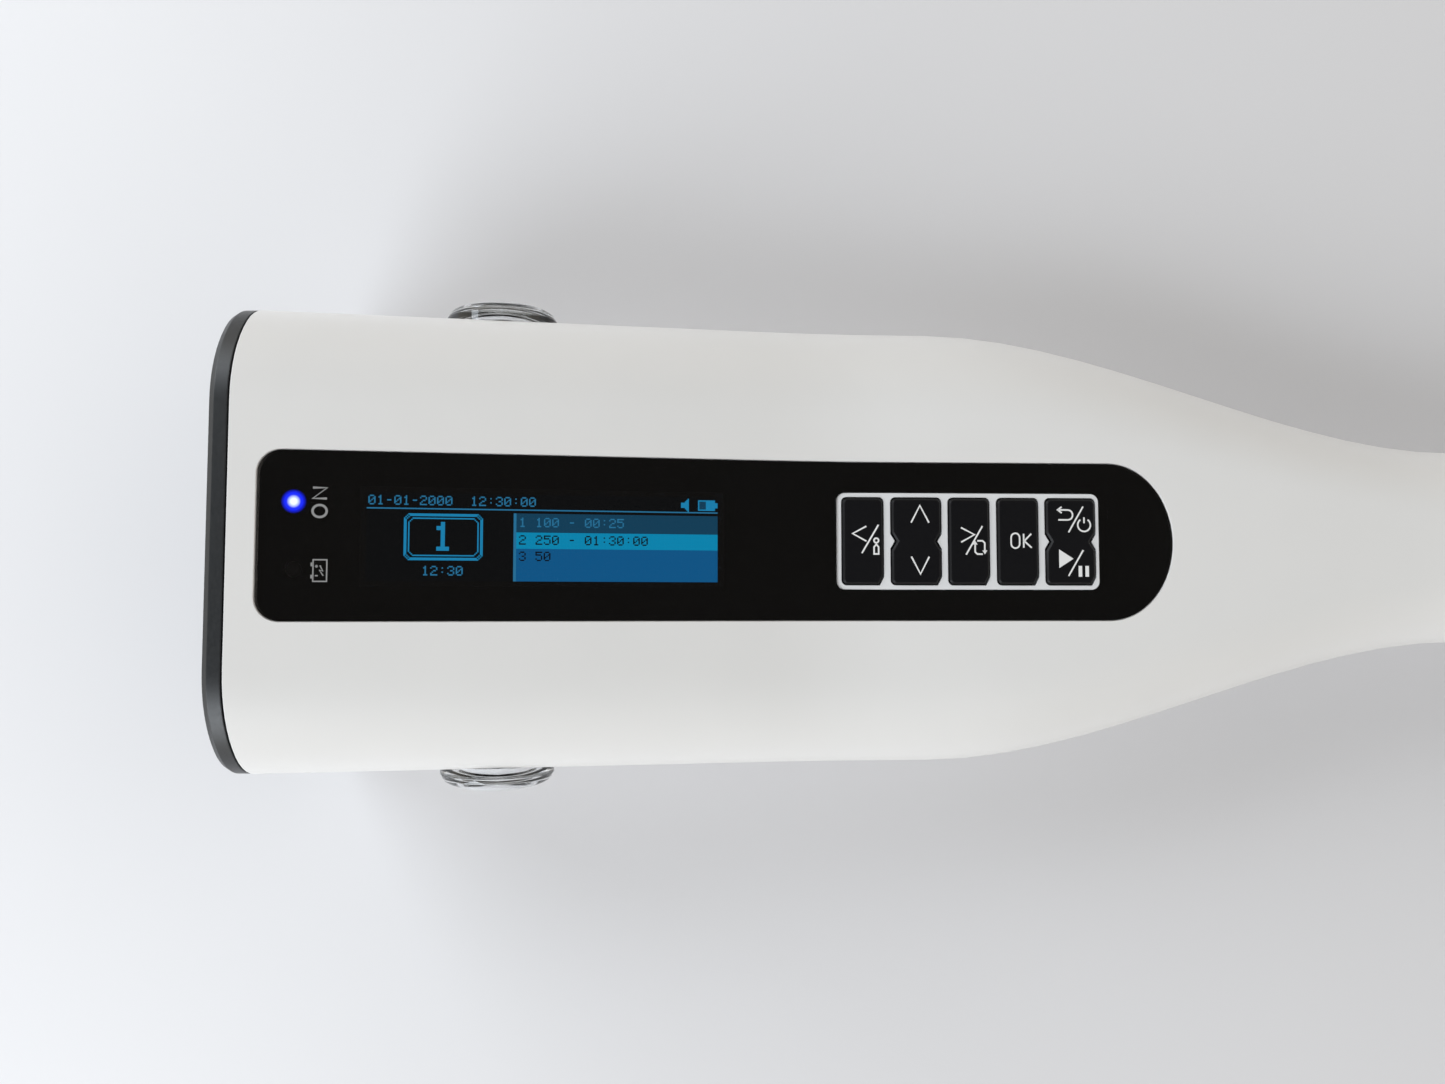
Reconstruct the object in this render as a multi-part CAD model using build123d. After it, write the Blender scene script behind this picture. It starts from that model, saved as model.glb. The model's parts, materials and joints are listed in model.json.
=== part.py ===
from build123d import *
from math import acos, cos, pi, radians, sin, sqrt, tan
import os

# A portable infusion pump lying on its back. Sizes are in millimetres.
# x runs from the joint between housing and door towards the grip, y across, z up from the table.

# Housing outline
end_height = 76.5
head_half_width = 52.5
grip_half_width = 24.0
shoulder_start = 154.0
shoulder_end = 289.0
grip_length = 77.0
housing_end = shoulder_end + grip_length
wall = 3.0
foot_stand = 1.2
grip_lift = 2.0
parting_height = 24.0
parting_groove = 0.3
parting_groove_depth = 0.7
steep = radians(10)
gentle = radians(3)
bend_x = 129.0
bend_radius = 229.0
neck_bend_x = 278.0
neck_bend_half = 16.0
crest_flat = 28.5
crest_drop = 20.0
base_flat = 38.5
base_rise = 14.0
grip_flat = 6.0
grip_rise = 20.5

# End door and its hinge
door_thickness = 4.7
door_gap = 0.5
door_skin = 2.5
door_rim = 4.0
hinge_radius = door_thickness / 2
hinge_x = -door_gap - hinge_radius
hinge_z = foot_stand + hinge_radius
hinge_pin_radius = 1.1
running_gap = 0.05
moving_gap = 0.3
hinge_spans = [(-34.0, -22.0), (-10.0, 10.0), (22.0, 34.0)]
door_spans = [(-22.0 + moving_gap, -10.0 - moving_gap), (10.0 + moving_gap, 22.0 - moving_gap)]

# Front panel with its display and keys
panel_start = 5.8
panel_end = 209.6
panel_half_width = 18.25
panel_corner = 5.0
panel_nose = 15.2
panel_sink = 0.3
panel_thickness = 1.5
mask_thickness = 0.15
panel_edge_gap = 0.15
mask_depth = panel_sink + panel_thickness
ledge_depth = mask_depth + mask_thickness
pad_depth = wall + 0.1
display_x = 65.6
display_length = 88.0
display_width = 28.0
display_glass = 2.0
bracket_length = 96.0
bracket_shift = 1.4
view_length = 79.5
view_width = 21.6
board = 1.6
keypad_x = 161.35
bezel_length = 61.5
bezel_width = 22.3
bezel_corner = 1.9
key_half = 10.2
key_gap = 0.25
key_corner = 1.2
key_rise = 0.5
key_bevel = 0.45
key_travel = 0.8
key_spans = [(131.7, 141.6), (143.1, 155.1), (156.5, 166.4), (167.9, 177.9), (179.3, 191.35)]
key_names = ["key_back", "key_up_down", "key_next", "key_ok", "key_power_play"]
rockers = ["key_up_down", "key_power_play"]
notch_depth = 1.0
notch_height = 3.4
pivot_depth = 2.6
pivot_radius = 0.7

# Lights
led_x = 13.2
led_y = 7.2
lens_x = 50.1
lens_z = 38.0
lens_radius = 13.5
lens_rim = 2.9
lens_height = 6.3

# Pump
rotor_z = 33.0
chamber_depth = 14.0
deck_thickness = 4.0
pitch_radius = 17.0
roller_radius = 5.0
squeeze_gap = 2.4
track_radius = pitch_radius + roller_radius + squeeze_gap
track_thickness = 3.0
shaft_radius = 4.0
bearing_radius = 7.0
bearing_width = 4.0
gear_module = 1.0
gear_teeth = 40
pinion_teeth = 12
pressure_angle = radians(25)
backlash = 0.16
gear_start = 23.5
gear_width = 5.5
motor_y = gear_module * (gear_teeth + pinion_teeth) / 2
motor_start = 32.0
motor_side = 35.0
motor_length = 34.0
motor_shaft_radius = 2.5
tube_z = 16.0
tube_slot = 6.0
sensor_y = 35.5

# Power
cell_radius = 9.2
cell_length = 65.0
cell_y = 9.5
holder_start = 222.0
cap_length = 15.0
socket_radius = 2.8

deck_face = chamber_depth + deck_thickness
total_length = door_gap + door_thickness + housing_end + cap_length
middle_x = housing_end + cap_length - total_length / 2


def mix(low, high, share):
    return low + (high - low) * share


def bend_centre():
    """Centre of the arc that joins the two slopes of the top line, seen from the side."""
    middle = (steep + gentle) / 2
    reach = bend_radius / cos((steep - gentle) / 2)
    corner_z = end_height - tan(steep) * bend_x
    return bend_x + reach * sin(middle), corner_z + reach * cos(middle)


def crest_key(depth, slope):
    """Point on the bend where the top line has this slope, at a depth below it."""
    centre_x, centre_z = bend_centre()
    reach = bend_radius + depth
    return centre_x - reach * sin(slope), centre_z - reach * cos(slope)


def crest(x):
    """Height of the housing's top line."""
    start = crest_key(0, steep)
    end = crest_key(0, gentle)
    if x < start[0]:
        return start[1] + tan(steep) * (start[0] - x)
    if x > end[0]:
        over = x - neck_bend_x
        if over < -neck_bend_half:
            levelled = 0.0
        elif over > neck_bend_half:
            levelled = over
        else:
            levelled = (over + neck_bend_half) ** 2 / (4 * neck_bend_half)
        return end[1] - tan(gentle) * (x - end[0] - levelled)
    centre_x, centre_z = bend_centre()
    return centre_z - sqrt(bend_radius ** 2 - (x - centre_x) ** 2)


def crest_slope(x):
    return steep if x < bend_x else gentle


def crest_plane(x):
    """Plane on the top line, its x along the slope and its z straight out."""
    slope = crest_slope(x)
    return Plane(origin=(x, 0, crest(x)), x_dir=(cos(slope), 0, -sin(slope)), z_dir=(sin(slope), 0, cos(slope)))


def corner(flat, across, centre, rise):
    """Rounded corners left and right of a flat, each two arcs that meet where the surface leans by 45 degrees."""
    up = 1 if rise > 0 else -1
    change = (across - abs(rise)) / (2 - sqrt(2))
    flat_radius = abs(rise) + change
    side_radius = across - change

    def point(y, z, radius, angle):
        return flat + y + radius * cos(radians(angle)), centre + up * (z + radius * sin(radians(angle)))

    points = [point(0, -change, flat_radius, angle) for angle in (90, 67.5, 45)]
    points += [point(change, 0, side_radius, angle) for angle in (22.5, 0)]
    mirrored = [(-y, z) for y, z in points]
    return [[ThreePointArc(*run[i:i + 3]) for i in (0, 2)] for run in (points, mirrored)]


def section(x, inset, height=0.0, depth=0.0):
    """Housing cross-section, a flat crest and base joined to straight sides by rounded corners.

    With a height, its upper half runs straight up that far instead, and with a depth its lower half straight down.
    """
    share = min(max((x - shoulder_start) / (shoulder_end - shoulder_start), 0), 1)
    share = share * share * (3 - 2 * share)
    half = mix(head_half_width, grip_half_width, share) - inset
    top_flat = mix(crest_flat, grip_flat, share)
    low_flat = mix(base_flat, grip_flat, share)
    top = crest(x) - inset
    low = mix(foot_stand, grip_lift, share) + inset
    top_centre = crest(x) - mix(crest_drop, grip_rise, share)
    low_centre = low - inset + mix(base_rise, grip_rise, share)
    upper_right, upper_left = corner(top_flat, half - top_flat, top_centre, top - top_centre)
    lower_right, lower_left = corner(low_flat, half - low_flat, low_centre, low - low_centre)
    crest_edges = upper_left[::-1] + [Line((-top_flat, top), (top_flat, top))] + upper_right
    base_edges = lower_right[::-1] + [Line((low_flat, low), (-low_flat, low))] + lower_left
    if height:
        edges = base_edges + [Polyline((half, low_centre), (half, height), (-half, height), (-half, low_centre))]
    elif depth:
        edges = crest_edges + [Polyline((half, top_centre), (half, -depth), (-half, -depth), (-half, top_centre))]
    else:
        edges = crest_edges + [Line((half, top_centre), (half, low_centre))] + base_edges
        edges += [Line((-half, low_centre), (-half, top_centre))]
    return Plane(origin=(x, 0, 0), x_dir=(0, 1, 0), z_dir=(1, 0, 0)) * make_face(Curve() + edges)


def straight_form(inset, start, end):
    """Length of housing whose top line is straight: rounding along the slope crossed with rounding along the base."""
    fall = crest(end) - crest(start)
    upper = extrude(section(start, inset, depth=80), sqrt((end - start) ** 2 + fall ** 2), dir=(end - start, 0, fall))
    return upper & extrude(section(start, inset, height=160), end - start)


def housing_form(inset, start=0.0, end=housing_end):
    """The whole housing, shrunk by the inset: straight head and grip, short steps through the bends between."""
    fine = 2 if inset < 1 else 1
    bend, level = crest_key(0, steep)[0], crest_key(0, gentle)[0]
    form = straight_form(inset, start, bend)
    bends = [mix(bend, level, step / (2 * fine)) for step in range(2 * fine + 1)]
    form += loft([section(x, inset) for x in bends], ruled=True)
    form += straight_form(inset, level, shoulder_start)
    bends = [mix(shoulder_start, shoulder_end, step / (7 * fine)) for step in range(7 * fine + 1)]
    form += loft([section(x, inset) for x in bends], ruled=True)
    return form + extrude(section(shoulder_end, inset), end - shoulder_end)


def block(x0, x1, y0, y1, z0, z1):
    return Pos((x0 + x1) / 2, (y0 + y1) / 2, (z0 + z1) / 2) * Box(x1 - x0, y1 - y0, z1 - z0)


def rod_x(x0, x1, y, z, radius):
    return Pos((x0 + x1) / 2, y, z) * Rot(0, 90, 0) * Cylinder(radius, x1 - x0)


def rod_y(y0, y1, x, z, radius):
    return Pos(x, (y0 + y1) / 2, z) * Rot(90, 0, 0) * Cylinder(radius, y1 - y0)


def rod_z(z0, z1, x, y, radius):
    return Pos(x, y, (z0 + z1) / 2) * Cylinder(radius, z1 - z0)


def slab(plane, length, width, top, bottom, corner=0.0, x=0.0, y=0.0):
    """Plate on a plane between two depths below it, with rounded corners if asked."""
    outline = RectangleRounded(length, width, corner) if corner else Rectangle(length, width)
    return plane.location * Pos(x, y, -bottom) * extrude(outline, bottom - top)


def crest_strip(top, bottom, start, end):
    """Layer that follows the top line between two depths, wider than the panel."""
    def end_point(depth, x, slope):
        key = crest_key(depth, slope)
        return (x, key[1] - tan(slope) * (x - key[0]))

    middle = (steep + gentle) / 2
    upper = [end_point(top, start, steep), crest_key(top, steep), crest_key(top, middle)]
    upper += [crest_key(top, gentle), end_point(top, end, gentle)]
    lower = [end_point(bottom, start, steep), crest_key(bottom, steep), crest_key(bottom, middle)]
    lower += [crest_key(bottom, gentle), end_point(bottom, end, gentle)]
    edges = [Line(upper[0], upper[1]), ThreePointArc(*upper[1:4]), Line(upper[3], upper[4])]
    edges += [Line(upper[4], lower[4]), Line(lower[4], lower[3]), ThreePointArc(*lower[3:0:-1])]
    edges += [Line(lower[1], lower[0]), Line(lower[0], upper[0])]
    half = panel_half_width + 10
    return extrude(Plane.XZ * make_face(Curve() + edges), half, both=True)


def panel_outline(grow):
    """Panel seen from above, straight-sided with a rounded nose towards the grip."""
    half = panel_half_width + grow
    start = panel_start - grow
    nose = panel_nose + grow
    straight_end = panel_end - panel_nose
    corner = panel_corner + grow
    edges = [
        Line((start + corner, half), (straight_end, half)),
        EllipticalCenterArc((straight_end, 0), nose, half, start_angle=0, arc_size=90),
        EllipticalCenterArc((straight_end, 0), nose, half, start_angle=270, arc_size=90),
        Line((straight_end, -half), (start + corner, -half)),
        EllipticalCenterArc((start + corner, -half + corner), corner, corner, start_angle=180, arc_size=90),
        Line((start, -half + corner), (start, half - corner)),
        EllipticalCenterArc((start + corner, half - corner), corner, corner, start_angle=90, arc_size=90),
    ]
    return make_face(Curve() + edges)


def rounded_end(x, bands):
    """Solid drawn from the housing section at x, straight and then through sections moved along and shrunk."""
    sections = [Pos(shift, 0, 0) * section(x, inset) for shift, inset in bands]
    straight = Pos(bands[0][0], 0, 0) * extrude(section(x, bands[0][1]), bands[1][0] - bands[0][0])
    return straight + loft(sections[1:], ruled=True)


def panel_layer(top, bottom, grow):
    column = extrude(panel_outline(grow), 120)
    return crest_strip(top, bottom, panel_start - 5, panel_end + 5) & column


def gear(teeth, phase, x0, x1, y, z, hole):
    """Spur gear about an axis along x; its flanks are short chords of the involute."""
    pitch = gear_module * teeth / 2
    base = pitch * cos(pressure_angle)
    tip = pitch + 0.9 * gear_module
    root = pitch - 1.2 * gear_module
    half_tooth = (pi * gear_module / 2 - backlash) / (2 * pitch)

    def flank(radius):
        angle = acos(min(base / radius, 1))
        return half_tooth + tan(pressure_angle) - pressure_angle - tan(angle) + angle

    radii = [root, max(base, root) + 0.02, pitch, tip]
    points = []
    for tooth in range(teeth):
        centre = phase + 2 * pi * tooth / teeth
        for side, order in ((-1, radii), (1, radii[::-1])):
            for radius in order:
                turn = centre + side * flank(max(radius, base))
                points.append((radius * cos(turn), radius * sin(turn)))
    face = make_face(Polyline(*points, close=True))
    plane = Plane(origin=(x0, y, z), x_dir=(0, 1, 0), z_dir=(1, 0, 0))
    return extrude(plane * face, x1 - x0) - rod_x(x0 - 1, x1 + 1, y, z, hole)


def save(name, shape):
    export_step(Pos(-middle_x, 0, 0) * shape, f"parts/{name}.step")


# Fixing points, each at (x, y)
shell_screws = [(78.0, 43.0), (78.0, -43.0), (172.0, 38.0), (172.0, -38.0)]
board_posts = [(88.0, 33.0), (88.0, -33.0), (146.0, 33.0), (146.0, -33.0)]
foot_points = [(16.0, 34.0), (16.0, -34.0), (168.0, 30.0), (168.0, -30.0)]
deck_points = [(45.5, 14.5), (-45.5, 14.5), (45.5, 46.5), (-45.5, 46.5)]
main_board_z = 15.0
screw_radius = 1.5
screw_head = 2.8
screw_seat = 11.0
screw_tip = 36.0
boss_radius = 4.2
speaker_x = 117.0
speaker_radius = 18.0
speaker_height = 8.0
holder_floor = 12.5
holder_end_wall = 2.0
contact = 0.5
holder_length = 2 * cell_length + 4 * contact + 3 * holder_end_wall
keeper_foot_z = 70.0
hook_z = 64.0
lens_seat = head_half_width - 0.3
lamp_y = head_half_width - wall - 2.4
foot_radius = 5.0
foot_recess = 0.4
inner_edge = head_half_width - wall


def display_plane():
    return crest_plane(display_x)


def keypad_plane():
    return crest_plane(keypad_x)


def key_frame(index):
    """Centre along the slope and length of one key opening."""
    low, high = key_spans[index]
    slope = cos(gentle)
    return ((low + high) / 2 - keypad_x) / slope, (high - low) / slope


def make_shells(outer, inner):
    shell = outer - inner
    over = block(-20, housing_end + 20, -80, 80, parting_height, 120)
    groove_cut = block(-1, housing_end + 1, -80, 80, parting_height - parting_groove / 2,
                       parting_height + parting_groove / 2) - housing_form(parting_groove_depth)
    front = (shell & over) - groove_cut
    rear = (shell - over) - groove_cut

    # Front shell: recess and windows for the panel, lens seats and the pads its pieces sit on
    front += slab(display_plane(), bracket_length + 1, 40, 1.2, pad_depth, x=bracket_shift)
    front += slab(crest_plane(led_x), 8, 30, 1.2, pad_depth)
    front += slab(keypad_plane(), 72, 34, 1.2, pad_depth)
    front += block(1, 7.5, -8, 8, keeper_foot_z, 73.5)
    columns = outer & (block(18, 30, 40.5, 55, 42, 51) + block(18, 30, -55, -40.5, 42, 51))
    for x, y in shell_screws:
        columns += outer & rod_z(parting_height, 62, x, y, boss_radius)
    front += columns
    front -= panel_layer(-8, ledge_depth, panel_edge_gap)
    front -= slab(display_plane(), display_length + 0.6, display_width + 0.6, 0, 6)
    front -= slab(keypad_plane(), bezel_length + 0.3, bezel_width + 0.3, 0, 6, bezel_corner + 0.15)
    for side in (-1, 1):
        y = led_y * side
        front -= crest_plane(led_x).location * Pos(0, y, 0) * Cylinder(1.7, 14)
        front -= rod_y(lens_seat if side > 0 else -60, 60 if side > 0 else -lens_seat, lens_x, lens_z,
                       lens_radius + 0.1)
        front -= rod_y(40 if side > 0 else -60, 60 if side > 0 else -40, lens_x, lens_z, lens_radius - 1.4)
    for x, y in shell_screws:
        front -= rod_z(parting_height - 1, screw_tip + 2, x, y, screw_radius)
    for y, z in deck_points[2:]:
        front -= rod_x(deck_face - 1, 28, y, z, screw_radius)

    # Rear shell: bosses, ribs, speaker slots, tube notches and hinge knuckles
    posts = block(18, 30, 40.5, 55, 10, 19) + block(18, 30, -55, -40.5, 10, 19)
    for x, y in shell_screws:
        posts += rod_z(0, parting_height, x, y, boss_radius)
    for x, y in board_posts:
        posts += rod_z(0, main_board_z, x, y, 3.2)
    for x in (holder_start + 12, holder_start + holder_length / 2, holder_start + holder_length - 12):
        posts += block(x - 1.5, x + 1.5, -15, 15, 0, holder_floor)
    frame = 2 * speaker_radius
    posts += Pos(speaker_x, 0, 0) * extrude(RectangleRounded(frame + 4, frame + 4, 4), foot_stand + wall + 2)
    posts -= Pos(speaker_x, 0, foot_stand + wall) * extrude(Rectangle(frame, frame), 10)
    rear += posts & outer
    for x, y in shell_screws:
        rear -= rod_z(-1, screw_seat, x, y, screw_head + 0.3)
        rear -= rod_z(-1, parting_height + 1, x, y, screw_radius + 0.2)
    for y, z in deck_points[:2]:
        rear -= rod_x(deck_face - 1, 28, y, z, screw_radius)
    for shift in range(-3, 4):
        reach = sqrt((speaker_radius - 5) ** 2 - (3.6 * shift) ** 2)
        rear -= block(speaker_x + 3.6 * shift - 0.8, speaker_x + 3.6 * shift + 0.8, -reach, reach, 0,
                      foot_stand + wall)
    for x, y in foot_points:
        rear -= rod_z(0, foot_stand + foot_recess, x, y, foot_radius)
    for side in (-1, 1):
        rear -= Pos(4.5, side * head_half_width, tube_z) * Box(11, 12, tube_slot)
    for low, high in hinge_spans:
        knuckle = rod_y(low, high, hinge_x, hinge_z, hinge_radius)
        knuckle += block(hinge_x, 2, low, high, foot_stand, hinge_z + 0.6)
        rear += knuckle
    rear -= rod_y(-34, 34, hinge_x, hinge_z, hinge_pin_radius)
    save("front_shell", front)
    save("rear_shell", rear)


def make_end_cap():
    cap = rounded_end(housing_end, [(0, 0), (10, 0), (13.4, 1.8), (cap_length, 5)])
    plug = extrude(section(housing_end, wall + 0.15), -4)
    cap += plug
    hollow = extrude(section(housing_end, wall + 2.5), cap_length - 5) + extrude(section(housing_end, wall + 2.5), -5)
    cap -= hollow
    cap -= rod_x(housing_end, housing_end + cap_length + 1, 0, parting_height, 4.5)
    save("grip_end_cap", cap)
    socket = block(housing_end + 1, housing_end + cap_length - 5, -5.5, 5.5, 18.5, 29.5)
    socket += rod_x(housing_end + 5, housing_end + cap_length - 0.6, 0, parting_height, 4.3)
    socket -= rod_x(housing_end + 4, housing_end + cap_length, 0, parting_height, socket_radius)
    socket += rod_x(housing_end + 3, housing_end + cap_length - 2.5, 0, parting_height, 0.8)
    save("charge_socket", socket)


def make_panel():
    keypad_hole = slab(keypad_plane(), bezel_length + 0.3, bezel_width + 0.3, -5, 5, bezel_corner + 0.15)
    save("front_panel", panel_layer(panel_sink, mask_depth, 0) - keypad_hole)
    mask = panel_layer(mask_depth, ledge_depth, 0) - keypad_hole
    mask -= slab(display_plane(), view_length, view_width, 0, 5)
    for side in (-1, 1):
        mask -= crest_plane(led_x).location * Pos(0, side * led_y, 0) * Cylinder(1.7, 14)
    save("panel_mask", mask)


def make_display():
    plane = display_plane()
    glass_end = ledge_depth + display_glass
    board_end = glass_end + board
    save("display_glass", slab(plane, display_length, display_width, ledge_depth, glass_end, 0.6))
    circuit = slab(plane, 90, 34, glass_end, board_end, 1)
    circuit += slab(plane, 20, 9, board_end, board_end + 1.4, x=-20)
    circuit += slab(plane, 6, 18, board_end, board_end + 2.2, x=34)
    save("display_board", circuit)
    bracket = slab(plane, bracket_length, 39, pad_depth, board_end + 1.6, 2, x=bracket_shift)
    bracket -= slab(plane, 90.4, 34.4, 0, board_end)
    bracket -= slab(plane, 86, 27, 0, 20, 2)
    save("display_bracket", bracket)


def key_outline(length, width, grow):
    """Key seen from above; the corner nearest the grip on the low side is cut off."""
    outline = RectangleRounded(length + 2 * grow, width + 2 * grow, key_corner + grow)
    corner_x = length / 2 + grow
    corner_y = -width / 2 - grow
    cut = Polyline((corner_x + 1, corner_y + 2), (corner_x, corner_y + 2), (corner_x - 1, corner_y),
                   (corner_x - 1, corner_y - 1), (corner_x + 1, corner_y - 1), close=True)
    return outline - make_face(cut)


def notches(length, grow):
    """The two V shapes at half height, one at each side of a rocker key."""
    shapes = []
    for side in (-1, 1):
        edge = side * (length / 2 + 1)
        tip = side * (length / 2 - notch_depth - grow)
        half = (notch_height / 2 + grow * 1.6) * (notch_depth + grow + 1) / (notch_depth + grow)
        shapes.append(make_face(Polyline((edge, half), (tip, 0), (edge, -half), close=True)))
    return shapes


def make_keypad():
    plane = keypad_plane()
    place = plane.location
    flange_top = pad_depth
    flange_end = pad_depth + 1.6
    board_top = flange_end + 2.3
    bezel = slab(plane, bezel_length, bezel_width, panel_sink, flange_top + 0.2, bezel_corner)
    bezel += slab(plane, bezel_length + 9, bezel_width + 10, flange_top, flange_end, 2)
    for x in (-33, 33):
        for y in (-13.5, 13.5):
            bezel += place * Pos(x, y, -(flange_end + board_top) / 2) * Box(3, 3, board_top - flange_end)
    switches = []
    for index, name in enumerate(key_names):
        x, length = key_frame(index)
        rocker = name in rockers
        opening = key_outline(length, 2 * key_half, 0)
        if rocker:
            for notch in notches(length, 0):
                opening -= notch
        hole = place * Pos(x, 0, -10) * extrude(opening, 12)
        if rocker:
            low = place * Pos(x, 0, -10) * extrude(key_outline(length, 2 * key_half, 0), 10 - 1.7)
            hole += low
            hole += place * Pos(x, 0, -pivot_depth) * Rot(0, 90, 0) * Cylinder(pivot_radius + running_gap,
                                                                              length + 1.1)
        else:
            hole += place * Pos(x, 0, -6) * Box(length, 2 * key_half + 3.2, 2 * (6 - flange_top + 0.3))
        bezel -= hole
        cap_face = key_outline(length - 2 * key_gap, 2 * (key_half - key_gap), 0)
        cap_base = key_gap + (1.7 if rocker else 1.2)
        cap_height = key_rise - panel_sink + cap_base - key_bevel
        cap = extrude(cap_face, cap_height) + Pos(0, 0, cap_height) * extrude(cap_face, key_bevel, taper=45)
        if rocker:
            for notch in notches(length - 2 * key_gap, key_gap):
                cap -= extrude(notch, cap_height) + Pos(0, 0, cap_height) * extrude(notch, key_bevel, taper=-45)
        key = place * Pos(x, 0, -cap_base) * cap
        key += place * Pos(x, 0, -flange_end) * extrude(cap_face, flange_end - cap_base)
        if rocker:
            key += place * Pos(x, 0, -pivot_depth) * Rot(0, 90, 0) * Cylinder(pivot_radius, length + 0.5)
            feet = [(x, -5.0), (x, 5.0)]
            foot_end = board_top - 1.5
        else:
            tab_top = flange_top + 0.05
            key += place * Pos(x, 0, -(tab_top + flange_end) / 2) * Box(length - 2, 2 * key_half + 2.4,
                                                                       flange_end - tab_top)
            feet = [(x, 0.0)]
            foot_end = board_top - 2.0
        for foot_x, foot_y in feet:
            key += place * Pos(foot_x, foot_y, -(flange_end + foot_end) / 2) * Box(2.6, 2.6, foot_end - flange_end)
            switches.append((foot_x, foot_y, board_top - (foot_end + (0.35 if rocker else key_travel + 0.05))))
        save(name, key)
    save("keypad_bezel", bezel)
    circuit = slab(plane, 71, 31, board_top, board_top + board, 1.5)
    circuit += slab(plane, 12, 7, board_top + board, board_top + board + 1.2, x=18)
    save("keypad_board", circuit)
    domes = None
    for x, y, height in switches:
        dome = place * Pos(x, y, -board_top + height / 2) * Box(5, 5, height)
        domes = dome if domes is None else domes + dome
    save("key_switches", domes)


def make_leds():
    plane = crest_plane(led_x)
    for name, side in (("power_led", 1), ("battery_led", -1)):
        pipe = plane.location * Pos(0, side * led_y, -(ledge_depth + 4.5) / 2) * Cylinder(1.6, 4.5 - ledge_depth)
        save(name, pipe)
    circuit = slab(plane, 8, 30, 4.5, 4.5 + board, 1)
    for y in (-12.5, 12.5):
        circuit += slab(plane, 4, 4, pad_depth, 4.5, y=y)
    save("led_board", circuit)


def make_lamp(side, name):
    """One clear side lens and the lamp board behind it."""
    depth = head_half_width - lamp_y
    barrel = lens_radius - 1.5
    bore = barrel - 1.5
    place = Pos(lens_x, side * head_half_width, lens_z) * Rot(-90 * side, 0, 0)
    dome = [(share * (lens_radius - 0.6), lens_height - (lens_height - lens_rim) * share * share)
            for share in (0, 0.6, 1)]
    inside = [(bore, -depth), (bore, 1.2), (0, 1.2)]
    outline = dome + [(lens_radius, lens_rim - 0.6), (lens_radius, -0.3), (barrel, -0.3), (barrel, -depth)] + inside
    face = Plane.XZ * make_face(Polyline(*outline, close=True))
    lens = revolve(face, Axis.Z)
    save(f"lamp_lens_{name}", place * lens)
    lamp = Pos(0, 0, -depth - board / 2) * Cylinder(barrel, board)
    lamp += Pos(0, 0, -depth + 0.6) * Box(5, 5, 1.2)
    save(f"lamp_board_{name}", place * lamp)


def make_door():
    bands = [(0, 0.1), (-2.9, 0.1), (-4.1, 0.8), (-door_thickness, 2.1)]
    plate = rounded_end(0, [(shift - door_gap, inset) for shift, inset in bands])
    pocket = extrude(section(0, door_rim), -door_gap - door_thickness + door_skin)
    pocket -= block(-9, 2, -60, 60, 0, hinge_z + 6)
    plate -= pocket
    plate -= block(-9, 2, -60, 60, -5, hinge_z) - rod_y(-61, 61, hinge_x, hinge_z, hinge_radius)
    plate += rod_y(-38, 38, hinge_x, hinge_z, hinge_radius)
    for low, high in hinge_spans:
        plate -= rod_y(low - moving_gap, high + moving_gap, hinge_x, hinge_z, hinge_radius + moving_gap)
        plate -= block(-9, 2, low - moving_gap, high + moving_gap, -5, hinge_z)
    plate -= rod_y(-38.5, 38.5, hinge_x, hinge_z, hinge_pin_radius + running_gap)
    outer_face = -door_gap - door_thickness
    skin_face = outer_face + door_skin
    plate -= block(outer_face - 1, outer_face + 1.6, -9, 9, 50, 68)
    plate -= block(outer_face - 1, skin_face + 1, -3, 3, 57, 65.4)
    save("door_cover", plate)

    liner_face = -door_gap - 0.4
    liner = extrude(section(0, door_rim + 0.2), skin_face) & block(skin_face, liner_face, -80, 80, hinge_z + 6.2, 90)
    liner -= block(-9, 2, -6, 6, 53, 90)
    for side in (-1, 1):
        liner += block(skin_face + 0.2, 3.2, side * sensor_y - 4, side * sensor_y + 4, 20.5, 24)
    save("door_liner", liner)
    gasket = extrude(section(0, 0.9), -0.3) - extrude(section(0, 2.6), -0.3)
    gasket = Pos(-door_gap + 0.3, 0, 0) * (gasket - block(-9, 2, -60, 60, -5, 12))
    save("door_gasket", gasket)

    latch = block(outer_face + 0.3, outer_face + 1.3, -8, 8, 56, 66)
    for z in (58, 60, 62, 64):
        latch -= rod_y(-7, 7, outer_face + 0.1, z, 0.55)
    latch += block(outer_face + 1.2, skin_face + 0.5, -2.6, 2.6, 61, 65)
    latch += block(skin_face + 0.3, liner_face + 0.1, -5.5, 5.5, 57.5, 67.5)
    latch += block(liner_face, 5.0, -4, 4, hook_z, hook_z + 2)
    latch += block(3.2, 5.0, -4, 4, hook_z + 2, hook_z + 3.8)
    save("door_latch", latch)
    keeper = block(1, 7.5, -7, 7, keeper_foot_z - 1.6, keeper_foot_z)
    keeper += block(1, 2.9, -7, 7, hook_z + 2 + moving_gap, keeper_foot_z - 1)
    save("latch_keeper", keeper)
    save("door_hinge_pin", rod_y(-34, 34, hinge_x, hinge_z, hinge_pin_radius))


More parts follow.
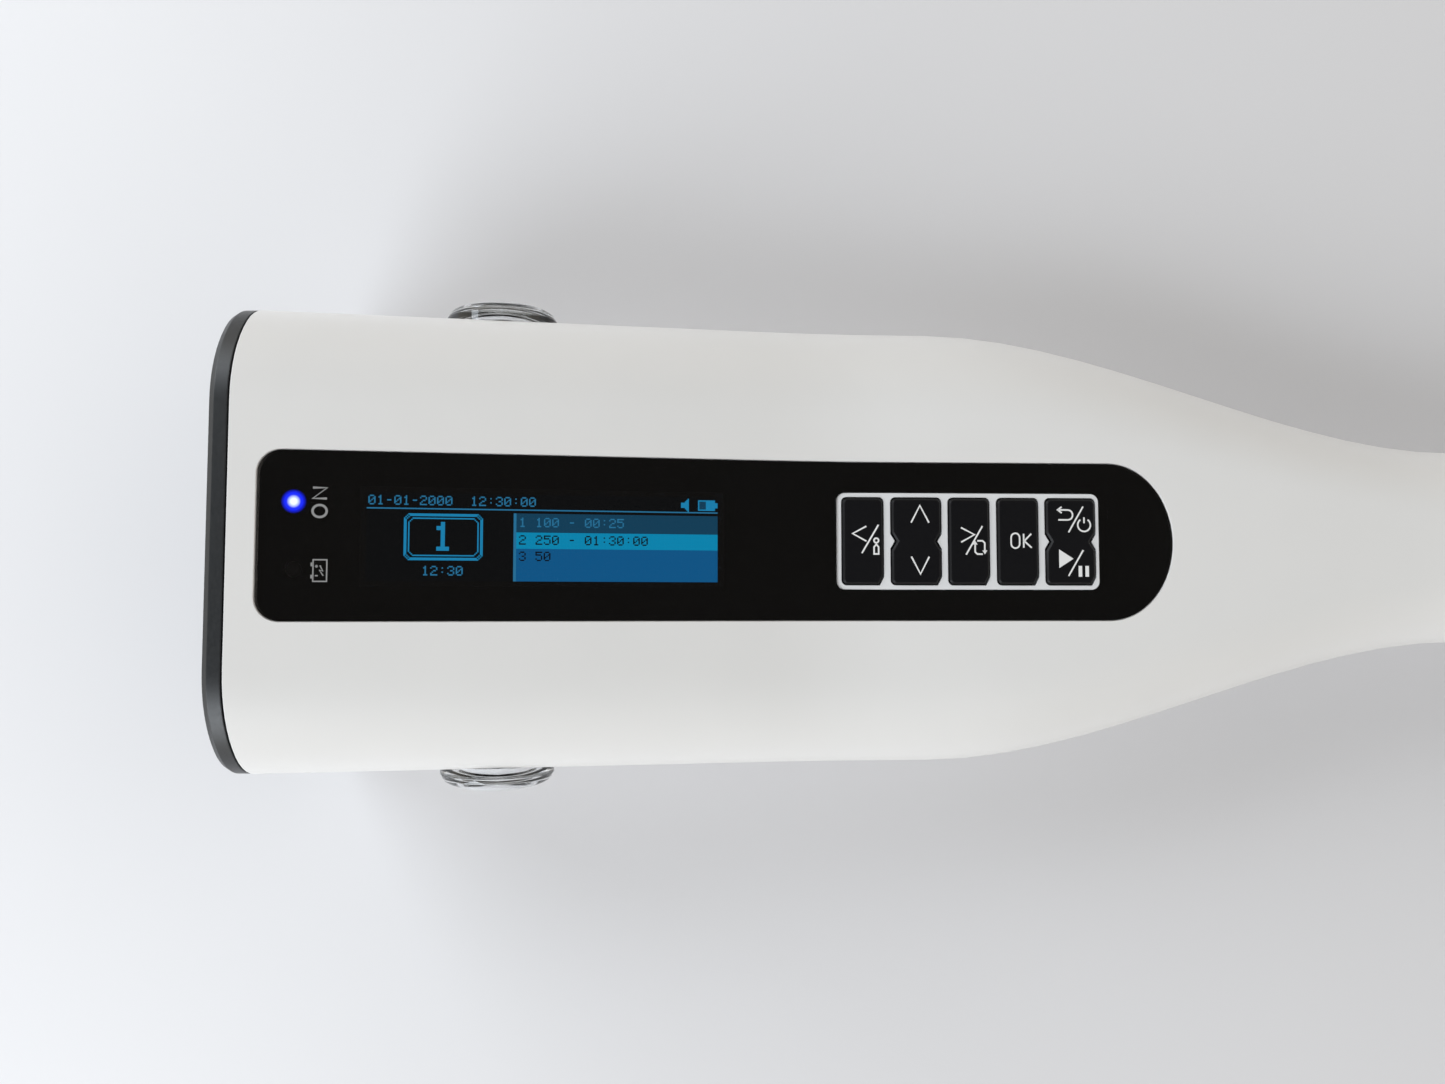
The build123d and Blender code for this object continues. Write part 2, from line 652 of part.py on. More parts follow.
def make_pump():
    deck = extrude(section(deck_face, wall + 0.3), -deck_thickness)
    deck += rod_x(deck_face - 0.5, deck_face + 3, 0, rotor_z, bearing_radius + 3)
    deck -= block(10, 30, -16, 16, 66, 90)
    deck -= rod_x(10, 30, 0, rotor_z, shaft_radius + 1)
    deck -= rod_x(deck_face + 3 - bearing_width, deck_face + 4, 0, rotor_z, bearing_radius)
    for y, z in deck_points:
        deck -= rod_x(10, 30, y, z, screw_radius + 0.2)
    save("pump_deck", deck)
    bearing_x = deck_face + 3 - bearing_width
    for name, x in (("bearing_front", bearing_x), ("bearing_rear", motor_start - 2)):
        ring = rod_x(x, x + bearing_width, 0, rotor_z, bearing_radius)
        save(name, ring - rod_x(x - 1, x + bearing_width + 1, 0, rotor_z, shaft_radius + running_gap))

    outer_track = track_radius + track_thickness
    track = rod_x(3, chamber_depth, 0, rotor_z, outer_track) - block(0, 20, -60, 60, -10, rotor_z)
    track += block(3, chamber_depth, -outer_track, outer_track, 22, rotor_z)
    track -= rod_x(2, 20, 0, rotor_z, track_radius)
    track -= block(2, 20, -track_radius, track_radius, 0, rotor_z)
    track -= block(2, 5.5, -4.6, 4.6, hook_z - 4.1, hook_z)
    save("pump_track", track)

    pins = [(pitch_radius * cos(radians(turn)), pitch_radius * sin(radians(turn))) for turn in (45, 135, 225, 315)]
    arms = Rot(0, 0, 45) * Rectangle(2 * pitch_radius + 7, 7) + Rot(0, 0, 135) * Rectangle(2 * pitch_radius + 7, 7)
    rotor = rod_x(2, 13.5, 0, rotor_z, 7) + rod_x(13.5, 35, 0, rotor_z, shaft_radius)
    for x in (2, 12.3):
        rotor += extrude(Plane(origin=(x, 0, rotor_z), x_dir=(0, 1, 0), z_dir=(1, 0, 0)) * arms, 1.2)
    rollers = []
    for y, z in pins:
        rotor += rod_x(1.5, 13, y, rotor_z + z, 1.8)
        rollers.append(rod_x(3.5, 12, y, rotor_z + z, roller_radius) - rod_x(2, 14, y, rotor_z + z,
                                                                            1.8 + running_gap))
    save("rotor_carrier", rotor)
    for index, roller in enumerate(rollers):
        save(f"roller_{index + 1}", roller)

    gear_end = gear_start + gear_width
    save("drive_gear", gear(gear_teeth, 0, gear_start, gear_end, 0, rotor_z, shaft_radius))
    save("motor_pinion", gear(pinion_teeth, pi / pinion_teeth, gear_start - 0.5, gear_end, motor_y, rotor_z,
                              motor_shaft_radius))
    save("motor_shaft", rod_x(gear_start - 1.5, motor_start + 3, motor_y, rotor_z, motor_shaft_radius))

    bracket = block(30, motor_start, -9, 43.5, rotor_z - 18, rotor_z + 18)
    bracket -= block(29, 33, -12, 6, rotor_z - 19, rotor_z - 10) + block(29, 33, -12, 6, rotor_z + 10, rotor_z + 19)
    bracket += rod_x(30, motor_start + 2, 0, rotor_z, bearing_radius + 1.2)
    for y, z in ((-7, rotor_z - 8.2), (-7, rotor_z + 8.2), (36, rotor_z - 15), (36, rotor_z + 15)):
        bracket += Pos(24.5, y if y > 0 else y - 17.5, z) * Box(13, 5, 5)
    bracket += block(30, motor_start, -27, -8, rotor_z - 10.6, rotor_z + 10.6)
    bracket -= rod_x(29, 36, 0, rotor_z, bearing_radius)
    bracket -= rod_x(29, 36, motor_y, rotor_z, 8.1)
    save("motor_bracket", bracket)
    motor = block(motor_start, motor_start + motor_length, motor_y - motor_side / 2, motor_y + motor_side / 2,
                  rotor_z - motor_side / 2, rotor_z + motor_side / 2)
    motor = chamfer(motor.edges().filter_by(Axis.X), 4)
    motor += rod_x(motor_start - 2, motor_start + 1, motor_y, rotor_z, 8)
    motor -= rod_x(motor_start - 3, motor_start + 4, motor_y, rotor_z, motor_shaft_radius + running_gap)
    save("pump_motor", motor)

    bubble = block(4, chamber_depth, -sensor_y - 6, 6 - sensor_y, 8, 24.5)
    bubble -= block(3, 10.5, -50, -20, tube_z - tube_slot / 2, tube_z + tube_slot / 2)
    bubble -= block(3, 4.6, -sensor_y - 5, 5 - sensor_y, 8.6, 11.4)
    save("bubble_sensor", bubble)
    gauge = block(4, chamber_depth, sensor_y - 6, sensor_y + 6, 8, 24.5)
    gauge -= block(3, 10.5, 20, 50, tube_z - tube_slot / 2, tube_z + tube_slot / 2)
    gauge += rod_x(9.5, 11, sensor_y, tube_z, 2)
    save("pressure_sensor", gauge)
    guides = None
    for side in (-1, 1):
        peg = rod_x(4, chamber_depth, side * 24, 12.0, 3)
        guides = peg if guides is None else guides + peg
    save("tube_guides", guides)
    screws = None
    for y, z in deck_points:
        screw = Pos(chamber_depth - 2, y, z) * Rot(0, 90, 0) * extrude(RegularPolygon(screw_head, 6), 2)
        screw += rod_x(chamber_depth - 1, 27, y, z, screw_radius)
        screws = screw if screws is None else screws + screw
    save("deck_screws", screws)


def make_electronics():
    circuit = block(84, 150, -37, 37, main_board_z, main_board_z + board)
    save("main_board", circuit)
    top = main_board_z + board
    parts = block(108, 122, -7, 7, top, top + 1.4) + block(92, 102, 10, 20, top, top + 1.2)
    parts += block(128, 142, -28, -18, top, top + 6) + block(90, 98, -30, -12, top, top + 5)
    parts += block(128, 135, 17, 24, top, top + 9) + block(137, 144, 17, 24, top, top + 9)
    parts += block(126, 140, -8, 8, top, top + 2.4)
    save("board_parts", parts)
    base = foot_stand + wall
    frame = 2 * speaker_radius - 0.2
    driver = Pos(speaker_x, 0, base) * extrude(Rectangle(frame, frame), 2)
    driver += Pos(speaker_x, 0, base + 2) * extrude(Rectangle(frame - 14, frame - 14), speaker_height - 2)
    driver -= rod_z(base - 1, base + 1.2, speaker_x, 0, speaker_radius - 3)
    save("speaker", driver)


def make_battery():
    end = holder_start + holder_length
    tray = block(holder_start, end, -17.5, 17.5, holder_floor, 21)
    step = cell_length + 2 * contact + holder_end_wall
    cells = []
    contacts = None
    for row in range(2):
        x = holder_start + holder_end_wall + contact + row * step
        for y in (-cell_y, cell_y):
            cell = rod_x(x, x + cell_length, y, parting_height, cell_radius)
            cells.append(cell)
            tray -= rod_x(x - contact, x + cell_length + contact, y, parting_height, cell_radius + 0.05)
        for face in (x - contact, x + cell_length):
            strip = block(face, face + contact, -14, 14, 20, 28)
            contacts = strip if contacts is None else contacts + strip
        tray -= block(x - contact, x + cell_length + contact, -17.5 + 1, 17.5 - 1, 19.8, 30)
    for index in range(3):
        x = holder_start + index * step
        tray += block(x, x + holder_end_wall, -17, 17, holder_floor, 30)
    save("battery_holder", tray)
    save("battery_contacts", contacts)
    for index, cell in enumerate(cells):
        save(f"battery_cell_{index + 1}", cell)


def make_fixings():
    screws = None
    for x, y in shell_screws:
        screw = Pos(x, y, screw_seat - 2) * extrude(RegularPolygon(screw_head, 6), 2)
        screw += rod_z(screw_seat - 1, screw_tip, x, y, screw_radius)
        screws = screw if screws is None else screws + screw
    save("shell_screws", screws)
    feet = None
    for x, y in foot_points:
        foot = rod_z(0, foot_stand + foot_recess, x, y, foot_radius)
        feet = foot if feet is None else feet + foot
    save("rubber_feet", feet)


def main():
    os.makedirs("parts", exist_ok=True)
    outer = housing_form(0)
    inner = housing_form(wall)
    make_shells(outer, inner)
    make_end_cap()
    make_panel()
    make_display()
    make_keypad()
    make_leds()
    make_lamp(1, "left")
    make_lamp(-1, "right")
    make_door()
    make_pump()
    make_electronics()
    make_battery()
    make_fixings()


main()
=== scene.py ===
"""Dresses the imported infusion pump: finishes for every solid, display picture, key legends, lenses and studio."""

import json
from math import cos, hypot, pi, radians, sin

import bmesh
import bpy
from bpy.props import FloatProperty, FloatVectorProperty, PointerProperty
from mathutils import Matrix, Vector


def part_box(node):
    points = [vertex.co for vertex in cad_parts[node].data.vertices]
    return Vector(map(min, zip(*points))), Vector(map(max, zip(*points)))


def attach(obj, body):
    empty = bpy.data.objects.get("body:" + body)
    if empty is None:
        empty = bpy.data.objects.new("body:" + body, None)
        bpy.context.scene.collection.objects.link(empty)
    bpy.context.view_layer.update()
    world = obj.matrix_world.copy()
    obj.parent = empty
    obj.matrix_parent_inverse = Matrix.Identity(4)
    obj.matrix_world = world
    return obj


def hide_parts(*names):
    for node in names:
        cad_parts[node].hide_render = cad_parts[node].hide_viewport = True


bl_info = {
    "name": "Infusion pump dressing",
    "version": (1, 0, 0),
    "blender": (4, 5, 0),
    "location": "View3D > Sidebar > Pump",
    "description": "Finishes, display picture, key legends, lenses and studio for the packed infusion pump",
    "category": "Object",
}

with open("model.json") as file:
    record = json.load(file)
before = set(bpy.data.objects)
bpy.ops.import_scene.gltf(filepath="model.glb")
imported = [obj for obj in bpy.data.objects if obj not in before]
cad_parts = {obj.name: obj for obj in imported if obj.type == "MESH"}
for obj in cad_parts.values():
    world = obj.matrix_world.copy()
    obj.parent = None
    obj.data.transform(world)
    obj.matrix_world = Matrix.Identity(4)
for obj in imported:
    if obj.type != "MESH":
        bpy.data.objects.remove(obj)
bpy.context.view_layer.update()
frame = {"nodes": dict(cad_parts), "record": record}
NODES = frame["nodes"]
SLOTS = {part["node"]: part["material_slot"] for part in frame["record"]["subparts"]}
MM = 0.001
SEAM_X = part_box("front_shell")[0].x

# Planes on the housing's top line: distance from the door seam, height, and downward slope in degrees
LIGHT_PLANE = (13.2, 74.1725, 10.0)
DISPLAY_PLANE = (65.6, 64.933, 10.0)
KEYPAD_PLANE = (161.35, 52.0584, 3.0)
PANEL_TOP = -0.3
PICTURE_DEPTH = -1.88
KEY_TOP = 0.2
INK = 0.025
DOT = 0.3
COLUMNS = 256
ROWS = 64


def linear(code):
    """An sRGB hex value as the linear colour that a shader takes."""
    values = [int(code[i:i + 2], 16) / 255 for i in (1, 3, 5)]
    return tuple(v / 12.92 if v <= 0.04045 else ((v + 0.055) / 1.055) ** 2.4 for v in values)


def colour(name, code, description):
    return FloatVectorProperty(name=name, description=description, default=linear(code), subtype="COLOR",
                               size=3, min=0, max=1)


def length(name, metres, description):
    return FloatProperty(name=name, description=description, default=metres, unit="LENGTH", min=0.0)


# ---------------------------------------------------------------- settings

class HousingSettings(bpy.types.PropertyGroup):
    shell: colour("Shell", "#DEDDDC", "Colour of the moulded ABS housing")
    cap: colour("Door and cap", "#1C1E20", "Colour of the black end door and the grip's end cap")
    grain: length("Moulding grain", 0.0006, "Spacing of the fine spark-eroded texture on the housing")
    edge: length("Edge rounding", 0.00035, "Radius that the moulded edges catch the light with")


class PanelSettings(bpy.types.PropertyGroup):
    film: colour("Film", "#050506", "Black printed film under the clear panel")
    tint: colour("Panel tint", "#D9D6D6", "Tint of the clear acrylic panel")
    mark: colour("Markings", "#8A8A8A", "Grey of the small printed markings")
    light: colour("Light", "#1A28FF", "Colour of the power light")


class DisplaySettings(bpy.types.PropertyGroup):
    bright: colour("Chosen row", "#00A6DA", "Brightest dots, used for the chosen row")
    middle: colour("Rows", "#0A6BA8", "Dots of the menu's other rows")
    dark: colour("Heading", "#124E6E", "Dots of the menu's heading row")
    text: colour("Text", "#2F8ABA", "Dots of clock, lines and text")
    ground: colour("Ground", "#04070B", "Unlit dots")
    icon: colour("Icons", "#1E9FD8", "Dots of the battery and sound marks")


class KeypadSettings(bpy.types.PropertyGroup):
    rubber: colour("Keys", "#0D0D10", "Colour of the moulded silicone keys")
    bezel: colour("Bezel", "#DADBDD", "Colour of the frame round the keys")
    legend: colour("Legends", "#E0E0E0", "Colour of the printed key legends")
    stroke: length("Legend stroke", 0.00038, "Width of the legends' lines")


class LensSettings(bpy.types.PropertyGroup):
    glass: colour("Lens", "#F4F6F8", "Tint of the clear polycarbonate lenses")
    board: colour("Reflector", "#E8E8E4", "Colour of the white lamp board behind them")


class MechanismSettings(bpy.types.PropertyGroup):
    deck: colour("Deck", "#B4B5B8", "Colour of the blasted aluminium deck")
    roller: colour("Rollers", "#E4E3DE", "Colour of the acetal rollers")
    motor: colour("Motor", "#36373A", "Colour of the motor's painted can")
    board: colour("Circuit boards", "#14503A", "Colour of the solder mask on the circuit boards")
    sleeve: colour("Cell sleeves", "#23629A", "Colour of the battery cells' shrink sleeve")


class StageSettings(bpy.types.PropertyGroup):
    floor: colour("Table", "#DCDBDD", "Colour of the table top")
    camera_x: FloatProperty(name="Camera across", description="Camera's place along the pump", default=-0.0836,
                            unit="LENGTH")
    camera_y: FloatProperty(name="Camera aside", description="Camera's place across the pump", default=-0.016,
                            unit="LENGTH")
    camera_z: FloatProperty(name="Camera height", description="Camera's height above the table", default=0.3127,
                            unit="LENGTH")
    tilt: FloatProperty(name="Camera tilt", description="Lean of the camera from straight down",
                        default=radians(3.48), subtype="ANGLE")
    turn: FloatProperty(name="Camera turn", description="Turn of the camera about its own line of sight",
                        default=0.0, subtype="ANGLE")
    lens: FloatProperty(name="Focal length", description="Focal length on a 36 mm wide sensor, in millimetres",
                        default=28.1, min=1)
    key: FloatProperty(name="Key light", description="Power of the large soft lamp, in watts", default=12.0, min=0)
    side: FloatProperty(name="Side light", description="Power of the second soft lamp, in watts", default=8.0, min=0)
    fill: FloatProperty(name="Room light", description="Brightness of the walls all round", default=0.95, min=0)
    ceiling: FloatProperty(name="Ceiling", description="Brightness of the ceiling as a share of the walls'",
                           default=0.08, min=0)


# ---------------------------------------------------------------- node helpers and finishes

def add(tree, kind, settings=None, **inputs):
    """Adds one node. Settings are its own properties; inputs are values or the sockets that feed them."""
    node = tree.nodes.new(kind)
    for name, value in (settings or {}).items():
        setattr(node, name, value)
    for name, value in inputs.items():
        socket = node.inputs[int(name[1:])] if name[0] == "_" else node.inputs[name.replace("_", " ")]
        if isinstance(value, bpy.types.NodeSocket):
            tree.links.new(value, socket)
        else:
            socket.default_value = value
    return node


def new_material(name):
    material = bpy.data.materials.new(name)
    material.use_nodes = True
    tree = material.node_tree
    tree.nodes.clear()
    output = tree.nodes.new("ShaderNodeOutputMaterial")
    return material, tree, output


def rgba(tint, factor=1.0):
    return tuple(min(value * factor, 1.0) for value in tint) + (1.0,)


def surface(name, tint, roughness, grain, depth, metallic=0.0, mottle=0.06, mottle_size=0.02, stretch=(1, 1, 1),
            edge=0.0, wear=0.06, transmission=0.0, ior=None, shine=0.5):
    """Finish with large soft colour variation, roughness variation, a fine grain bump and rounded edges.

    Grain, depth and mottle size are in metres; stretch draws the grain out, as brushing does.
    """
    material, tree, output = new_material(name)
    place = add(tree, "ShaderNodeTexCoord").outputs["Object"]
    broad = add(tree, "ShaderNodeTexNoise", Vector=place, Scale=1 / mottle_size, Detail=3.0)
    drawn = add(tree, "ShaderNodeMapping", Vector=place, Scale=stretch)
    fine = add(tree, "ShaderNodeTexNoise", Vector=drawn.outputs[0], Scale=1 / grain, Detail=4.0, Roughness=0.6)
    shade = add(tree, "ShaderNodeMix", {"data_type": "RGBA"}, _0=broad.outputs[0], _6=rgba(tint, 1 - mottle),
                _7=rgba(tint, 1 + mottle))
    dull = add(tree, "ShaderNodeMapRange", _0=fine.outputs[0], _1=0.3, _2=0.7, _3=max(roughness - wear, 0.02),
               _4=min(roughness + wear, 1.0))
    bump = add(tree, "ShaderNodeBump", Height=fine.outputs[0], Strength=0.5, Distance=depth)
    if edge:
        rounded = add(tree, "ShaderNodeBevel", {"samples": 4}, Radius=edge)
        tree.links.new(rounded.outputs[0], bump.inputs["Normal"])
    skin = add(tree, "ShaderNodeBsdfPrincipled", Base_Color=shade.outputs[2], Roughness=dull.outputs[0],
               Metallic=metallic, Normal=bump.outputs[0])
    skin.inputs["Transmission Weight"].default_value = transmission
    skin.inputs["Specular IOR Level"].default_value = shine
    if ior:
        skin.inputs["IOR"].default_value = ior
    tree.links.new(skin.outputs[0], output.inputs[0])
    return material


def lit_dots(name, tint):
    """Phosphor dots of a display: plain light with faint dark lines between the dots' rows and columns."""
    material, tree, output = new_material(name)
    place = add(tree, "ShaderNodeTexCoord").outputs["Object"]
    lines = [add(tree, "ShaderNodeTexWave", {"wave_type": "BANDS", "bands_direction": axis, "wave_profile": "SIN"},
                 Vector=place, Scale=2 * pi / (20 * DOT * MM)).outputs[1] for axis in ("X", "Y")]
    weave = add(tree, "ShaderNodeMath", {"operation": "MULTIPLY"}, _0=lines[0], _1=lines[1])
    level = add(tree, "ShaderNodeMapRange", _0=weave.outputs[0], _3=0.86, _4=1.1)
    glow = add(tree, "ShaderNodeEmission", Color=rgba(tint), Strength=level.outputs[0])
    tree.links.new(glow.outputs[0], output.inputs[0])
    return material


def power_glow(name, tint):
    """Light-emitting diode seen through the film: a near-white core in a deep blue halo that fades out."""
    material, tree, output = new_material(name)
    place = add(tree, "ShaderNodeTexCoord").outputs["Generated"]
    centred = add(tree, "ShaderNodeMapping", Vector=place, Location=(-1.0, -1.0, 0), Scale=(2, 2, 0))
    ball = add(tree, "ShaderNodeTexGradient", {"gradient_type": "SPHERICAL"}, Vector=centred.outputs[0])
    ramp = add(tree, "ShaderNodeValToRGB", Fac=ball.outputs[1])
    stops = ramp.color_ramp.elements
    stops[0].position, stops[0].color = 0.0, rgba(tint)
    stops[1].position, stops[1].color = 0.78, (0.75, 0.85, 1, 1)
    middle = stops.new(0.45)
    middle.color = rgba(tint, 1.4)
    fade = add(tree, "ShaderNodeMapRange", _0=ball.outputs[1], _1=0.0, _2=0.4)
    glow = add(tree, "ShaderNodeEmission", Color=ramp.outputs[0], Strength=1.3)
    clear = add(tree, "ShaderNodeBsdfTransparent")
    mixed = add(tree, "ShaderNodeMixShader", _0=fade.outputs[0], _1=clear.outputs[0], _2=glow.outputs[0])
    tree.links.new(mixed.outputs[0], output.inputs[0])
    return material


def circuit_board(name, tint):
    """Glass-epoxy board under green solder mask, with the paler lines that copper tracks make in it."""
    material, tree, output = new_material(name)
    place = add(tree, "ShaderNodeTexCoord").outputs["Object"]
    tracks = add(tree, "ShaderNodeTexBrick", {"offset": 0.37}, Vector=place, Scale=1 / 0.006, Mortar_Size=0.06,
                 Color1=rgba(tint), Color2=rgba(tint, 1.15), Mortar=rgba(tint, 1.9))
    bump = add(tree, "ShaderNodeBump", Height=tracks.outputs[1], Strength=0.4, Distance=0.00004)
    skin = add(tree, "ShaderNodeBsdfPrincipled", Base_Color=tracks.outputs[0], Roughness=0.35,
               Normal=bump.outputs[0])
    tree.links.new(skin.outputs[0], output.inputs[0])
    return material


def smoothing():
    """Modifier tree that joins the facets of a moulding and shades all but its sharp edges as one smooth skin."""
    tree = bpy.data.node_groups.get("smooth moulding")
    if tree:
        return tree
    tree = bpy.data.node_groups.new("smooth moulding", "GeometryNodeTree")
    tree.interface.new_socket("Geometry", in_out="INPUT", socket_type="NodeSocketGeometry")
    tree.interface.new_socket("Geometry", in_out="OUTPUT", socket_type="NodeSocketGeometry")
    start = add(tree, "NodeGroupInput")
    plain = add(tree, "GeometryNodeRemoveAttribute", Geometry=start.outputs[0], Name="custom_normal")
    joined = add(tree, "GeometryNodeMergeByDistance", Geometry=plain.outputs[0], Distance=0.00001)
    faces = add(tree, "GeometryNodeSetShadeSmooth", {"domain": "FACE"}, Geometry=joined.outputs[0])
    angle = add(tree, "GeometryNodeInputMeshEdgeAngle")
    sharp = add(tree, "FunctionNodeCompare", {"data_type": "FLOAT", "operation": "GREATER_THAN"},
                _0=angle.outputs[0], _1=radians(24))
    edges = add(tree, "GeometryNodeSetShadeSmooth", {"domain": "EDGE"}, Geometry=faces.outputs[0],
                Selection=sharp.outputs[0])
    edges.inputs["Shade Smooth"].default_value = False
    add(tree, "NodeGroupOutput", Geometry=edges.outputs[0])
    return tree


def lowered(distance):
    """Modifier tree that lets a film hang a hair below the panel, so that their faces don't share one plane."""
    tree = bpy.data.node_groups.new("air gap", "GeometryNodeTree")
    tree.interface.new_socket("Geometry", in_out="INPUT", socket_type="NodeSocketGeometry")
    tree.interface.new_socket("Geometry", in_out="OUTPUT", socket_type="NodeSocketGeometry")
    start = add(tree, "NodeGroupInput")
    moved = add(tree, "GeometryNodeSetPosition", Geometry=start.outputs[0], Offset=(0, 0, -distance))
    add(tree, "NodeGroupOutput", Geometry=moved.outputs[0])
    return tree


def finish_nodes(names, material, smooth=True):
    """Gives CAD nodes their finish, and the smoothing modifier where they are moulded or turned."""
    for name in names:
        solid = NODES[name]
        solid.data.materials.clear()
        solid.data.materials.append(material)
        if smooth:
            solid.modifiers.new("smooth moulding", "NODES").node_group = smoothing()


def in_slot(slot):
    return [name for name, used in SLOTS.items() if used == slot]


# ---------------------------------------------------------------- mesh helpers

def on_plane(plane, along, across, height):
    """Point on one of the housing's sloping planes, given in millimetres, in the row frame."""
    centre_x, centre_z, slope = plane
    lean = radians(slope)
    x = centre_x + along * cos(lean) + height * sin(lean)
    z = centre_z - along * sin(lean) + height * cos(lean)
    return Vector((SEAM_X + x * MM, across * MM, z * MM))


def make_piece(name, mesh_data, materials, body, smooth=False):
    points, faces, indices = mesh_data
    mesh = bpy.data.meshes.new(name)
    mesh.from_pydata(points, [], faces)
    for material in materials:
        mesh.materials.append(material)
    for face, index in zip(mesh.polygons, indices):
        face.material_index = index
        face.use_smooth = smooth
    mesh.update()
    piece = bpy.data.objects.new(name, mesh)
    bpy.context.scene.collection.objects.link(piece)
    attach(piece, body)
    return piece


def arc(centre, radius, start, end, steps=12):
    """Points on an arc, angles in degrees."""
    turns = [radians(start + (end - start) * step / steps) for step in range(steps + 1)]
    return [(centre[0] + radius * cos(turn), centre[1] + radius * sin(turn)) for turn in turns]


def ribbon(line, width, closed=False):
    """Left and right edges of a line of even width with mitred corners."""
    left, right = [], []
    count = len(line)
    for index, point in enumerate(line):
        before = line[index - 1] if closed or index else None
        after = line[(index + 1) % count] if closed or index < count - 1 else None
        normals = []
        for a, b in ((before, point), (point, after)):
            if a is None or b is None:
                continue
            dx, dy = b[0] - a[0], b[1] - a[1]
            size = hypot(dx, dy)
            normals.append((-dy / size, dx / size))
        nx = sum(n[0] for n in normals) / len(normals)
        ny = sum(n[1] for n in normals) / len(normals)
        square = max(nx * nx + ny * ny, 0.3)
        nx, ny = nx / square * width / 2, ny / square * width / 2
        left.append((point[0] + nx, point[1] + ny))
        right.append((point[0] - nx, point[1] - ny))
    return left, right


def ink_mesh(lines, fills, width, plane, height, centre=(0.0, 0.0)):
    """Printed strokes and filled shapes as one flat mesh on a plane."""
    points, faces = [], []
    for line, closed in lines:
        left, right = ribbon(line, width, closed)
        base = len(points)
        points += left + right
        count = len(line)
        for index in range(count if closed else count - 1):
            following = (index + 1) % count
            faces.append((base + index, base + count + index, base + count + following, base + following))
    for shape in fills:
        faces.append(tuple(range(len(points), len(points) + len(shape))))
        points += shape
    placed = [on_plane(plane, x - centre[0], y - centre[1], height) for x, y in points]
    return placed, faces, [0] * len(faces)


# ---------------------------------------------------------------- key legends, in millimetres from the keypad's centre

def ring(centre, radius, start=0, end=360):
    whole = end - start == 360
    points = arc(centre, radius, start, end, 24)
    return (points[:-1], True) if whole else (points, False)


def legends():
    """Strokes and filled shapes of each key: arrows, information mark, loop, OK, return, power, run and pause."""
    loop = [(1.9, 0.12), (3.15, 0.12), (3.65, -0.38), (3.65, -2.3)]
    loop_back = [(3.15, -2.96), (1.9, -2.96), (1.38, -2.46), (1.38, -0.55)]
    back_arrow = [(20.95, 7.38)] + arc((23.31, 6.22), 1.16, 90, -90, 10) + [(21.06, 5.06)]
    return {
        "key_back": ([([(-23.96, 3.4), (-27.15, 1.71), (-23.96, -0.05)], False),
                      ([(-21.14, 3.75), (-25.02, -2.8)], False),
                      ([(-22.2, -2.98), (-22.2, -1.39), (-21.67, -0.76), (-21.14, -1.39), (-21.14, -2.98)], True),
                      ring((-21.67, 0.12), 0.53)], []),
        "key_up_down": ([([(-13.53, 4.28), (-11.45, 8.26), (-9.37, 4.28)], False),
                         ([(-13.53, -3.58), (-11.45, -7.58), (-9.37, -3.58)], False)], []),
        "key_next": ([([(-1.88, 3.17), (1.27, 1.55), (-1.88, -0.21)], False), ([(3.14, 3.54), (-0.74, -3.1)], False),
                      (loop, False), (loop_back, False)],
                     [[(3.05, -2.1), (3.65, -3.0), (4.25, -2.1)], [(0.78, -0.75), (1.98, -0.75), (1.38, 0.15)]]),
        "key_ok": ([(arc((10.86, 0.9), 1.0, 0, 180, 10) + arc((10.86, -0.56), 1.0, 180, 360, 10), True),
                    ([(12.81, 1.8), (12.81, -1.46)], False), ([(14.6, 1.8), (12.95, 0.1), (14.68, -1.46)], False)], []),
        "key_power_play": ([(back_arrow, False), ([(21.9, 8.1), (20.95, 7.38), (21.9, 6.66)], False),
                            ([(26.96, 8.19), (23.44, 2.17)], False), ring((27.14, 3.88), 1.5, 125, 415),
                            ([(27.14, 5.69), (27.14, 4.3)], False),
                            ([(26.84, -1.97), (23.28, -7.98)], False)],
                           [[(21.1, -1.8), (21.1, -6.15), (24.5, -3.98)],
                            [(25.65, -5.64), (25.65, -8.16), (26.5, -8.16), (26.5, -5.64)],
                            [(27.25, -5.64), (27.25, -8.16), (28.1, -8.16), (28.1, -5.64)]]),
    }


# ---------------------------------------------------------------- display picture

DIGITS = {
    "0": "01110 10001 10011 10101 11001 10001 01110", "1": "00100 01100 00100 00100 00100 00100 01110",
    "2": "01110 10001 00001 00110 01000 10000 11111", "3": "01110 10001 00001 00110 00001 10001 01110",
    "4": "00010 00110 01010 10010 11111 00010 00010", "5": "11111 10000 11110 00001 00001 10001 01110",
    "6": "00110 01000 10000 11110 10001 10001 01110", "7": "11111 00001 00010 00100 00100 01000 01000",
    "8": "01110 10001 10001 01110 10001 10001 01110", "9": "01110 10001 10001 01111 00001 00010 01100",
    "-": "00000 00000 00000 01110 00000 00000 00000", ":": "00000 00100 00000 00000 00100 00000 00000",
    ".": "00000 00000 00000 00000 00000 00100 00100", "/": "00001 00010 00010 00100 01000 01000 10000",
    " ": "00000 00000 00000 00000 00000 00000 00000",
}
GROUND, TEXT, DARK, MIDDLE, BRIGHT, ICON = range(6)


def write_number(grid, text, column, row, level, size=1):
    """Writes digits five dots wide and seven high, each dot drawn as a square of the given size."""
    for place, sign in enumerate(text):
        for down, bits in enumerate(DIGITS[sign].split()):
            for over, bit in enumerate(bits):
                if bit == "1":
                    left = column + (6 * place + over) * size
                    fill_box(grid, left, row + down * size, left + size - 1, row + (down + 1) * size - 1, level)


def fill_box(grid, left, top, right, bottom, level):
    for row in range(top, bottom + 1):
        for column in range(left, right + 1):
            grid[row][column] = level


